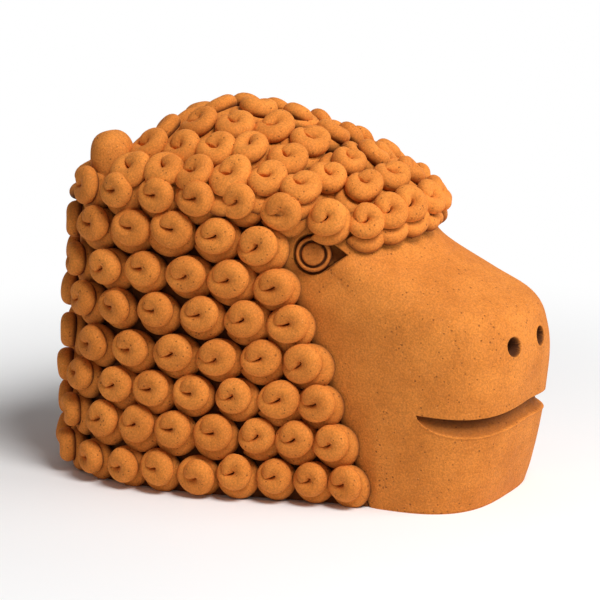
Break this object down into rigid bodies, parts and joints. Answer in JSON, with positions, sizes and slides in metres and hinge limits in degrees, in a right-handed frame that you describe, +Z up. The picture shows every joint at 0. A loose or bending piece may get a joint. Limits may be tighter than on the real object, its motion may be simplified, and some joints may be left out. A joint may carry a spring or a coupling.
{
  "type": "lion head sculpture",
  "caption": "Hand-built hollow clay lion head with a smooth muzzle, cut mouth, ringed eyes and a mane of coiled clay curls, standing on its open base.",
  "frame": {"origin": "middle of the footprint's box, on the surface that the head stands on", "axes": "+Z up, the face looks along -Y, the lion's right side is -X"},
  "size_m": [0.1488, 0.2284, 0.1717],
  "materials": {
    "clay_face": "matte fired terracotta, wiped smooth",
    "clay_curl": "matte fired terracotta, hand rolled",
    "clay_wall": "matte fired terracotta, scraped, in shade",
    "clay_eye": "matte fired terracotta, stamped"
  },
  "bodies": {
    "root": {"face_shell": "clay_face", "right_ear": "clay_face", "left_ear": "clay_face", "right_eye": "clay_eye", "left_eye": "clay_eye", "right_wall": "clay_wall", "left_wall": "clay_wall", "back_wall": "clay_wall", "crown_slab": "clay_wall", "right_course_1": "clay_curl", "right_course_2": "clay_curl", "right_course_3": "clay_curl", "right_course_4": "clay_curl", "right_course_5": "clay_curl", "right_course_6": "clay_curl", "right_course_7": "clay_curl", "right_course_8": "clay_curl", "left_course_1": "clay_curl", "left_course_2": "clay_curl", "left_course_3": "clay_curl", "left_course_4": "clay_curl", "left_course_5": "clay_curl", "left_course_6": "clay_curl", "left_course_7": "clay_curl", "left_course_8": "clay_curl", "back_course_1": "clay_curl", "back_course_2": "clay_curl", "back_course_3": "clay_curl", "back_course_4": "clay_curl", "back_course_5": "clay_curl", "back_course_6": "clay_curl", "back_course_7": "clay_curl", "brow_fringe": "clay_curl", "crown_row_1": "clay_curl", "crown_row_2": "clay_curl", "crown_row_3": "clay_curl", "crown_row_4": "clay_curl", "crown_row_5": "clay_curl", "crown_row_6": "clay_curl", "crown_row_7": "clay_curl", "crown_row_8": "clay_curl", "crown_row_9": "clay_curl"}
  },
  "joints": []
}
